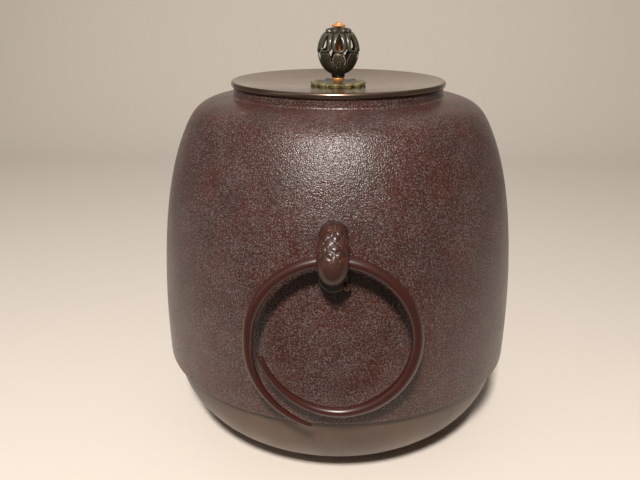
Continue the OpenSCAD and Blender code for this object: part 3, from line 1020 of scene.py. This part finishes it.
@dataclass
class BronzeLid:
    """Lid with its flange, flower washer, copper collar, pin and roves, in millimetres."""

    edge: float = 1.5
    thick: float = 3.6
    dish: float = 3.3
    flange_r: float = 60.7
    flange_t: float = 2.5
    hole_r: float = 1.63
    flower_r: float = 17.3
    lobes: int = 12
    lobe_turn: float = -6.0
    lobe_sharp: float = 3.0
    lobe_depth: float = 1.9
    lobe_drop: float = 0.7
    flower_rim: float = 1.0
    flower_middle: float = 1.4
    collar_d: float = 7.5
    pin_r: float = 1.6
    rove_d: float = 8.6
    head_d: float = 4.6
    fold: float = 0.07
    flat: float = 0.1

    def bed(self, r: np.ndarray) -> np.ndarray:
        """Gives the depth of the lid's dish, all of it under the washer and none at the rim."""
        seat, far = self.flower_r ** 2, (box_mm("lid_plate")[1][0] - self.edge) ** 2
        return self.dish * (far - np.maximum(r * r, seat)) / (far - seat)

    def build_plate(self) -> bpy.types.Object:
        """Builds the dished plate with its flange.

        Returns:
            The plate.
        """
        low, high = box_mm("lid_plate")
        top, rim, foot = high[2], high[0], low[2]
        under, inner = top - self.thick, self.flange_r - self.flange_t
        out = np.linspace(self.flower_r, rim - self.edge, 41)
        back = np.linspace(inner, self.flower_r, 33)
        outline = np.vstack([
            [[self.hole_r, top - self.dish]], np.column_stack([out, top - self.bed(out)]),
            arc((rim - self.edge, top - self.edge), self.edge, 90, 0, steps=10)[1:],
            arc((rim - self.edge, under + self.edge), self.edge, 0, -90, steps=10),
            [[self.flange_r, under], [self.flange_r, foot], [inner, foot]],
            np.column_stack([back, under - self.bed(back)]), [[self.hole_r, under - self.dish]],
        ])
        return lathe("lid_turned_plate", outline, 320, sharp=30)

    def build_flower(self) -> bpy.types.Object:
        """Builds the dished washer with its lobed rim.

        Returns:
            The washer.
        """
        low, high = box_mm("knob_seat")
        rim, height = self.flower_r, high[2] - low[2]
        lip = self.flower_rim
        outline = np.vstack([
            [[self.hole_r, 0], [rim * 0.6, 0], [rim - 0.5, 0]],
            arc((rim - lip, height - lip), lip, -60, 90, steps=12),
            curve(((rim - 1.5, height), (rim - 3.5, height - 0.2), (rim * 0.55, self.flower_middle),
                   (self.collar_d / 2 + 1, self.flower_middle)), steps=20),
            [[self.hole_r, self.flower_middle]],
        ])
        piece = lathe("flower_washer", outline + [0, low[2]], 360, sharp=45)
        points = points_of(piece) - [0, 0, low[2]]
        x, y, z = points.T
        turn, r = np.arctan2(y, x), np.hypot(x, y)
        gap = lobe_gap(turn, self.lobes, self.lobe_turn, self.lobe_sharp)
        pull = gap * smooth(r / rim, 0.45, 1.0)
        new_r, new_z = r - self.lobe_depth * pull, z - self.lobe_drop * pull * (z / height)
        move_points(piece, np.stack([new_r * np.cos(turn), new_r * np.sin(turn), new_z + low[2]], axis=1))
        set_relief(piece, np.clip(0.35 + 0.65 * smooth(r / rim, 0.7, 0.95) - 0.55 * gap, 0, 1))
        return piece

    def build_collar(self) -> bpy.types.Object:
        """Builds the folded copper collar.

        Returns:
            The collar.
        """
        low, high = box_mm("knob_collar")
        h, d = high[2] - low[2], self.collar_d
        side = curve(((0.36 * d, 0), (0.44 * d, 0.3 * h), (0.56 * d, 0.7 * h), (0.46 * d, h)), steps=12)
        outline = np.vstack([[[self.hole_r, 0]], side, [[self.hole_r, h]]])
        return lathe("collar_copper", outline + [0, low[2]], 96, self.folded, sharp=50)

    def folded(self, turn: np.ndarray, r: np.ndarray, z: np.ndarray) -> tuple[np.ndarray, np.ndarray]:
        """Presses soft folds into copper, a little inward, by angle, radius and height."""
        dent = 0.5 + 0.3 * np.sin(6 * turn + 0.8) + 0.2 * np.sin(11 * turn + 2.1)
        return r - self.fold * r * dent * (r > self.hole_r + 0.5), z

    def build_pin(self) -> bpy.types.Object:
        """Builds the pin with its peened heads.

        Returns:
            The pin.
        """
        low, high = box_mm("knob_pin")
        foot = box_mm("under_rove")[0][2]
        top = box_mm("top_rove")[1][2]
        t = np.radians(np.linspace(0, 90, 11))

        def head(z: float, end: float) -> np.ndarray:
            """Gives a head's side from its rim to its crown."""
            return np.stack([self.head_d / 2 * np.cos(t), z + (end - z) * np.sin(t)], axis=1)

        shank = [[self.pin_r, foot], [self.pin_r, top]]
        outline = np.vstack([head(foot, low[2])[::-1], shank, head(top, high[2])])

        def peened(turn: np.ndarray, r: np.ndarray, z: np.ndarray) -> tuple[np.ndarray, np.ndarray]:
            """Leaves hammer flats on the heads."""
            flats = 0.5 + 0.5 * np.sin(5 * turn + 1.1 + 0.9 * z)
            return r - self.flat * r * flats * ((z > top) | (z < foot)), z

        return lathe("pin_copper", outline, 64, peened, sharp=50)

    def build_rove(self) -> bpy.types.Object:
        """Builds the upper rove with its hammered rim.

        Returns:
            The rove.
        """
        low, high = box_mm("top_rove")
        h = high[2] - low[2]
        outline = np.vstack([
            [[self.hole_r, 0]], arc((self.rove_d / 2 - h / 2, h / 2), h / 2, -90, 90, steps=10),
            [[self.pin_r + 1.0, h], [self.hole_r, h]],
        ])
        return lathe("top_rove_copper", outline + [0, low[2]], 96, self.folded, sharp=50)

    def build(self) -> None:
        """Builds and dresses the lid's pieces."""
        dress(self.build_plate(), LID_BRONZE, Body.LID, Slot.LID, "lid_plate")
        dress(self.build_flower(), FLOWER_BRONZE, Body.LID, Slot.FLOWER, "knob_seat")
        coppers = {"knob_collar": self.build_collar, "knob_pin": self.build_pin, "top_rove": self.build_rove}
        for node, build in coppers.items():
            dress(build(), COPPER, Body.LID, Slot.COPPER, node)
        paint_node("under_rove", COPPER)


@dataclass
class BudKnob:
    """Openwork bud of a cup, a crown of looped petals and a ruff, in millimetres and degrees."""

    petals: int = 8
    turn: float = 3.5
    wall: float = 1.6
    bore_r: float = 1.65
    crown_handles: tuple = ((13.0, 0.0), (13.65, 4.68), (11.18, 9.6), (8.2, 12.0))
    window_w: float = 4.2
    window_foot: float = 1.44
    window_tip: float = 11.2
    loop_middle: float = 4.8
    ray_wide: float = 10.0
    ray_high: float = 4.5
    foot_half: float = 6.0
    foot_rise: float = 3.6
    loop_inner: float = 0.75
    loop_outer: float = 0.85
    loop_edge: float = 1.2
    cup_handles: tuple = ((4.1, 2.1), (8.946, 3.39), (12.852, 8.81), (12.6, 15.0))
    notch_foot: float = 10.84
    notch_half: float = 8.5
    grain: float = 1.25
    bead_h: float = 0.3
    panel_sink: float = 0.45
    edge_soft: float = 0.35
    frame_w: tuple = (0.85, 1.25)
    petal_share: float = 0.99
    ruff_r: float = 8.35
    ruff_droop: float = 1.0
    ruff_lobe: float = 0.2
    ruff_sharp: float = 2.5
    ruff_dip: float = 0.9
    ring_steps: int = 64

    @property
    def half(self) -> float:
        """Gives half the angle of a petal."""
        return 180 / self.petals

    def loop_edges(self, count: int) -> tuple[np.ndarray, np.ndarray, np.ndarray]:
        """Finds a crown petal's inner and outer edge along rays from its middle.

        Args:
            count: Number of rays.

        Returns:
            Ray directions in degrees and millimetres, and the distances to the window and to the outline.
        """
        psi = np.linspace(0, 2 * np.pi, count, endpoint=False)
        rays = np.stack([self.ray_wide * np.sin(psi), self.ray_high * np.cos(psi)], axis=1)
        side = curve(self.crown_handles, steps=60)
        top = side[-1, 1]
        round_z = self.window_foot + self.window_w / 2

        def window(x: np.ndarray, z: np.ndarray) -> np.ndarray:
            """Tells which places are in the window.

            Args:
                x: Angles in degrees from the petal's middle.
                z: Heights in millimetres.

            Returns:
                Whether each place is inside.
            """
            r = np.interp(z, side[:, 1], side[:, 0])
            low = np.sqrt(np.maximum((self.window_w / 2) ** 2 - (z - round_z) ** 2, 0))
            rise = np.clip((self.window_tip - z) / (self.window_tip - round_z), 0, 1)
            wide = np.where(z < round_z, low, self.window_w / 2 * rise ** 0.8)
            return np.abs(np.radians(x) * r) < wide

        def outline(x: np.ndarray, z: np.ndarray) -> np.ndarray:
            """Tells which places are in the petal.

            Args:
                x: Angles in degrees from the petal's middle.
                z: Heights in millimetres.

            Returns:
                Whether each place is inside.
            """
            rise = np.sqrt(np.clip(1 - ((self.foot_rise - z) / self.foot_rise) ** 2, 0, 1))
            foot = self.foot_half + (self.half - self.foot_half) * rise
            wide = np.where(z < self.foot_rise, foot, self.half)
            return (np.abs(x) < self.petal_share * wide) & (z > 0) & (z < top)

        found = []
        for inside in (window, outline):
            near, far = np.zeros(count), np.full(count, 5.0)
            for _ in range(40):
                middle = (near + far) / 2
                within = inside(middle * rays[:, 0], self.loop_middle + middle * rays[:, 1])
                near, far = np.where(within, middle, near), np.where(within, far, middle)
            found.append(near)
        return rays, found[0], found[1]

    def wrap(self, side: np.ndarray, angle: np.ndarray, z: np.ndarray, lift: np.ndarray) -> np.ndarray:
        """Wraps a flat place round the bud.

        Args:
            side: Side of the bud as radius and height.
            angle: Angles in degrees.
            z: Heights on the side.
            lift: Distances out of the side.

        Returns:
            Points whose last axis is x, y and z.
        """
        out = -left_of(side)
        r = np.interp(z, side[:, 1], side[:, 0]) + lift * np.interp(z, side[:, 1], out[:, 0])
        h = z + lift * np.interp(z, side[:, 1], out[:, 1])
        return np.stack([r * np.cos(np.radians(angle)), r * np.sin(np.radians(angle)), h], axis=-1)

    def assemble(self, node: str, petals: tuple[list, list, list], ring: np.ndarray, dull: float,
                 sharp: float) -> bpy.types.Object:
        """Joins petals and a turned ring in one piece.

        Args:
            node: Node that the piece stands for.
            petals: Points, faces and relief of the petals.
            ring: Outline of the ring as rows of radius and height.
            dull: Relief of the ring.
            sharp: Angle in degrees from which an edge stays sharp.

        Returns:
            The piece.
        """
        points, faces, relief = petals
        faces += grid_faces(self.ring_steps, len(ring), True, True, sum(len(part) for part in points))
        points.append(lathe_points(ring, self.ring_steps).reshape(-1, 3))
        relief.append(np.full(len(points[-1]), dull))
        base = box_mm(node)[0][2]
        piece = mesh_object(node + "_petals", np.concatenate(points) + [0, 0, base], faces, sharp)
        set_relief(piece, np.concatenate(relief))
        return piece

    def build_crown(self) -> bpy.types.Object:
        """Builds the crown of looped petals on its roof.

        Returns:
            The crown.
        """
        side = curve(self.crown_handles, steps=60)
        rays, inner, outer = self.loop_edges(96)
        s_out = np.linspace(0, 1, 15)
        drop = np.where(s_out < 0.4, -self.loop_inner * (1 - s_out / 0.4) ** 2,
                        -self.loop_outer * np.maximum(0, (s_out - 0.5) / 0.5) ** 2)
        loop = list(zip(s_out, drop)) + [(1.0, -self.loop_edge)]
        loop += [(s, -self.wall) for s in (1.0, 0.66, 0.33, 0.0)] + [(0.0, -self.loop_edge)]
        rows, cols = len(loop), len(inner)
        points, faces, relief = [], [], []
        for i in range(self.petals):
            faces += grid_faces(rows, cols, True, True, i * rows * cols)
            for s, d in loop:
                reach = inner + s * (outer - inner)
                angle = self.turn + i * 2 * self.half + reach * rays[:, 0]
                height = self.loop_middle + reach * rays[:, 1]
                points.append(self.wrap(side, angle, height, np.full(cols, d)))
                relief.append(np.full(cols, max(0.0, 1 + 1.1 * d)))
        top, radius = side[-1, 1], side[-1, 0]
        roof = np.array([[self.bore_r, top], [radius - 0.3, top], [radius - 0.3, top - self.wall],
                         [self.bore_r, top - self.wall]])
        return self.assemble("knob_crown", (points, faces, relief), roof, dull=0.2, sharp=60)

    def build_cup(self) -> bpy.types.Object:
        """Builds the cup of notched, grained petals on its neck.

        Returns:
            The cup.
        """
        side = curve(self.cup_handles, steps=60)
        way = np.concatenate([[0], np.cumsum(np.hypot(*np.diff(side, axis=0).T))])
        x = np.linspace(-1, 1, 45)[None, :]
        row = np.linspace(0, 1, 61)[:, None]
        z = np.interp(row * way[-1], way, side[:, 1])
        r = np.interp(row * way[-1], way, side[:, 0])
        narrow = np.clip((z - self.notch_foot) / (side[-1, 1] - self.notch_foot), 0, 1)
        wide = self.petal_share * (self.half - self.notch_half * narrow)
        angle = x * wide
        edge = np.minimum((wide - np.abs(angle)) * np.radians(1) * r, (1 - row) * way[-1] + 0 * x)
        u, v = np.radians(angle) * r / self.grain, (row * way[-1]) / self.grain + 0 * x
        near = np.full(u.shape, 9.0)
        for shift in (0.0, 0.5):
            du = (u + shift) - np.round(u + shift)
            dv = (v / math.sqrt(3) + shift) - np.round(v / math.sqrt(3) + shift)
            near = np.minimum(near, np.hypot(du, dv * math.sqrt(3)))
        beads = self.bead_h * np.sqrt(np.maximum(0, 1 - (near / 0.5) ** 2))
        panel = smooth(edge, *self.frame_w)
        soft = (1 - np.minimum(1, edge / self.edge_soft)) ** 2
        lift = -self.edge_soft * soft - self.panel_sink * panel + beads * panel
        outer = self.wrap(side, angle, z + 0 * x, lift)
        inner = self.wrap(side, angle, z + 0 * x, np.full(angle.shape, -self.wall))
        proud = np.concatenate([np.clip(1 + 2.2 * lift, 0, 1), np.zeros(angle.shape)], axis=1)
        points, faces, relief = [], [], []
        for i in range(self.petals):
            sheet, quads = slab(outer, inner, i * proud.size)
            points.append(turned(sheet, self.turn + i * 2 * self.half))
            relief.append(proud.ravel())
            faces += quads
        neck_r, neck_h = self.cup_handles[0]
        neck = np.array([[self.bore_r, 0], [neck_r - 0.3, 0], [neck_r, 0.3], [neck_r, neck_h + 0.5],
                         [neck_r - 0.2, neck_h + self.wall], [self.bore_r, neck_h + self.wall]])
        return self.assemble("knob_cup", (points, faces, relief), neck, dull=0.3, sharp=70)

    def build_ruff(self) -> bpy.types.Object:
        """Builds the ruff of rounded lobes over the petals' tips.

        Returns:
            The ruff.
        """
        low, high = box_mm("knob_ruff")
        rim, h = self.ruff_r, high[2] - low[2]
        lobes = self.petals, self.turn + self.half, self.ruff_sharp
        outline = np.vstack([
            [[self.bore_r, 0], [rim * 0.7, 0]], arc((rim - h / 2, h / 2), h / 2, -75, 90, steps=14),
            [[rim * 0.55, h * 0.93], [self.bore_r, h * 0.9]],
        ])

        def lobed(turn: np.ndarray, r: np.ndarray, z: np.ndarray) -> tuple[np.ndarray, np.ndarray]:
            """Draws the rim in between the lobes and lets it droop.

            Args:
                turn: Angles round the axis.
                r: Radii.
                z: Heights.

            Returns:
                Changed radii and heights.
            """
            gap = lobe_gap(turn, *lobes)
            far = smooth(r / rim, 0.35, 1.0)
            drop = self.ruff_dip * gap * far * z / h + self.ruff_droop * far ** 2
            return r * (1 - self.ruff_lobe * gap * far), z - drop

        piece = lathe("knob_ruff_lobes", outline, 192, lobed, sharp=60)
        points = points_of(piece)
        r = np.hypot(points[:, 0], points[:, 1])
        gap = lobe_gap(np.arctan2(points[:, 1], points[:, 0]), *lobes)
        move_points(piece, points + [0, 0, low[2]])
        set_relief(piece, np.clip(0.25 + 0.75 * smooth(r / rim, 0.55, 0.9) - 0.6 * gap, 0, 1))
        return piece

    def build(self) -> None:
        """Builds and dresses the bud's pieces."""
        bronzes = {"knob_crown": self.build_crown, "knob_cup": self.build_cup, "knob_ruff": self.build_ruff}
        for node, build in bronzes.items():
            dress(build(), KNOB_BRONZE, Body.KNOB, Slot.KNOB, node)


@dataclass(frozen=True)
class Lamp:
    """Soft lamp, with its place, aim and face in millimetres and its power in watts."""

    name: str
    place: tuple[float, float, float]
    aim: tuple[float, float, float]
    face: tuple[float, float]
    power: float
    colour: str = "#ffffff"

    def build(self) -> None:
        """Hangs the lamp and points it at its aim."""
        light = bpy.data.lights.new(self.name, "AREA")
        light.shape = "RECTANGLE"
        light.size, light.size_y = (side * MM for side in self.face)
        light.energy = self.power
        light.color = linear(self.colour)[:3]
        stand = bpy.data.objects.new(self.name, light)
        stand.location = Vector(self.place) * MM
        way = Vector(self.aim) - Vector(self.place)
        stand.rotation_euler = way.to_track_quat("-Z", "Y").to_euler()
        bpy.context.scene.collection.objects.link(stand)


KETTLE_MIDDLE = (0.0, -60.0, 150.0)
LAMPS = (
    Lamp("key", (-70.0, -1000.0, 1120.0), KETTLE_MIDDLE, (140.0, 160.0), 25.5, "#fffaf4"),
    Lamp("ceiling", (0.0, 200.0, 1700.0), (0.0, 200.0, 0.0), (2000.0, 2000.0), 5.0),
    Lamp("fill", (-900.0, -600.0, 450.0), KETTLE_MIDDLE, (600.0, 600.0), 0.6),
)


@dataclass
class Studio:
    """Pale sweep of paper, soft lamps and the camera, in millimetres and degrees.

    The room is dim where it lights the kettle, a little brighter where metal mirrors it (mirrored is that
    share) and as pale as the paper where the camera sees it.
    """

    paper: str = "#efe4d8"
    paper_roughness: float = 0.85
    width: float = 1760.0
    front: float = -200.0
    back: float = 750.0
    bend: float = 450.0
    height: float = 900.0
    room: float = 0.03
    mirrored: float = 0.2
    camera_away: float = 426.7
    camera_z: float = 274.5
    camera_round: float = 0.82
    camera_yaw: float = 1.51
    camera_pitch: float = 19.94
    focal_px: float = 671.8
    image_px: float = 640.0
    sensor: float = 36.0

    def build_sweep(self) -> None:
        """Builds the floor that bends up into the backdrop."""
        bend = arc((self.back, self.bend), self.bend, -90, 0, steps=24)
        line = np.vstack([[[self.front, 0]], bend, [[self.back + self.bend, self.height]]])
        half = self.width / 2
        points = np.concatenate([np.column_stack([np.full(len(line), x), line]) for x in (-half, half)])
        floor = mesh_object("paper_sweep", points, grid_faces(2, len(line), False, False), sharp=60)
        paper = bpy.data.materials.new("pale_matt_paper")
        paper.use_nodes = True
        shader = paper.node_tree.nodes["Principled BSDF"]
        shader.inputs["Base Color"].default_value = linear(self.paper)
        shader.inputs["Roughness"].default_value = self.paper_roughness
        floor.data.materials.append(paper)

    def build_lights(self) -> None:
        """Hangs the key above the camera, the ceiling lamp and the weak fill, and sets the dim room."""
        for lamp in LAMPS:
            lamp.build()
        world = bpy.data.worlds.new("studio")
        world.use_nodes = True
        tree = world.node_tree
        tree.nodes.clear()
        path = add(tree, "ShaderNodeLightPath").outputs
        through = add(tree, "ShaderNodeMath", operation="MAXIMUM",
                      links={0: path["Is Camera Ray"], 1: path["Is Transmission Ray"]})
        ray = add(tree, "ShaderNodeMath", {1: self.mirrored}, operation="MULTIPLY_ADD",
                  links={0: path["Is Glossy Ray"], 2: through.outputs[0]})
        room = add(tree, "ShaderNodeBackground", {"Color": linear(self.paper), "Strength": self.room})
        seen = add(tree, "ShaderNodeBackground", {"Color": linear(self.paper), "Strength": 1.0})
        sky = add(tree, "ShaderNodeMixShader",
                  links={0: ray.outputs[0], 1: room.outputs[0], 2: seen.outputs[0]})
        add(tree, "ShaderNodeOutputWorld", links={"Surface": sky.outputs[0]})
        bpy.context.scene.world = world

    def build_camera(self) -> None:
        """Sets the camera at the photograph's viewing angle."""
        lens = bpy.data.cameras.new("camera")
        lens.sensor_width = self.sensor
        lens.lens = self.sensor * self.focal_px / self.image_px
        camera = bpy.data.objects.new("camera", lens)
        turn, yaw = math.radians(self.camera_round), math.radians(self.camera_round + self.camera_yaw)
        pitch = math.radians(self.camera_pitch)
        camera.location = Vector((self.camera_away * math.sin(turn), -self.camera_away * math.cos(turn),
                                  self.camera_z)) * MM
        ahead = Vector((-math.sin(yaw) * math.cos(pitch), math.cos(yaw) * math.cos(pitch), -math.sin(pitch)))
        camera.rotation_euler = ahead.to_track_quat("-Z", "Y").to_euler()
        bpy.context.scene.collection.objects.link(camera)
        bpy.context.scene.camera = camera

    def build(self) -> None:
        """Builds the floor, the lights and the camera."""
        bpy.context.scene.view_settings.view_transform = "Standard"
        self.build_camera()
        self.build_sweep()
        self.build_lights()


def main() -> None:
    """Builds the studio and the kettle's sub-assemblies in order."""
    logging.basicConfig(level=logging.INFO, format="%(name)s: %(message)s")
    Studio().build()
    body = KettleBody()
    body.build()
    for side in Side:
        PineConeLug(body, side).build()
        SpiralRing(side).build()
    BronzeLid().build()
    BudKnob().build()


if __name__ == "__main__":
    main()
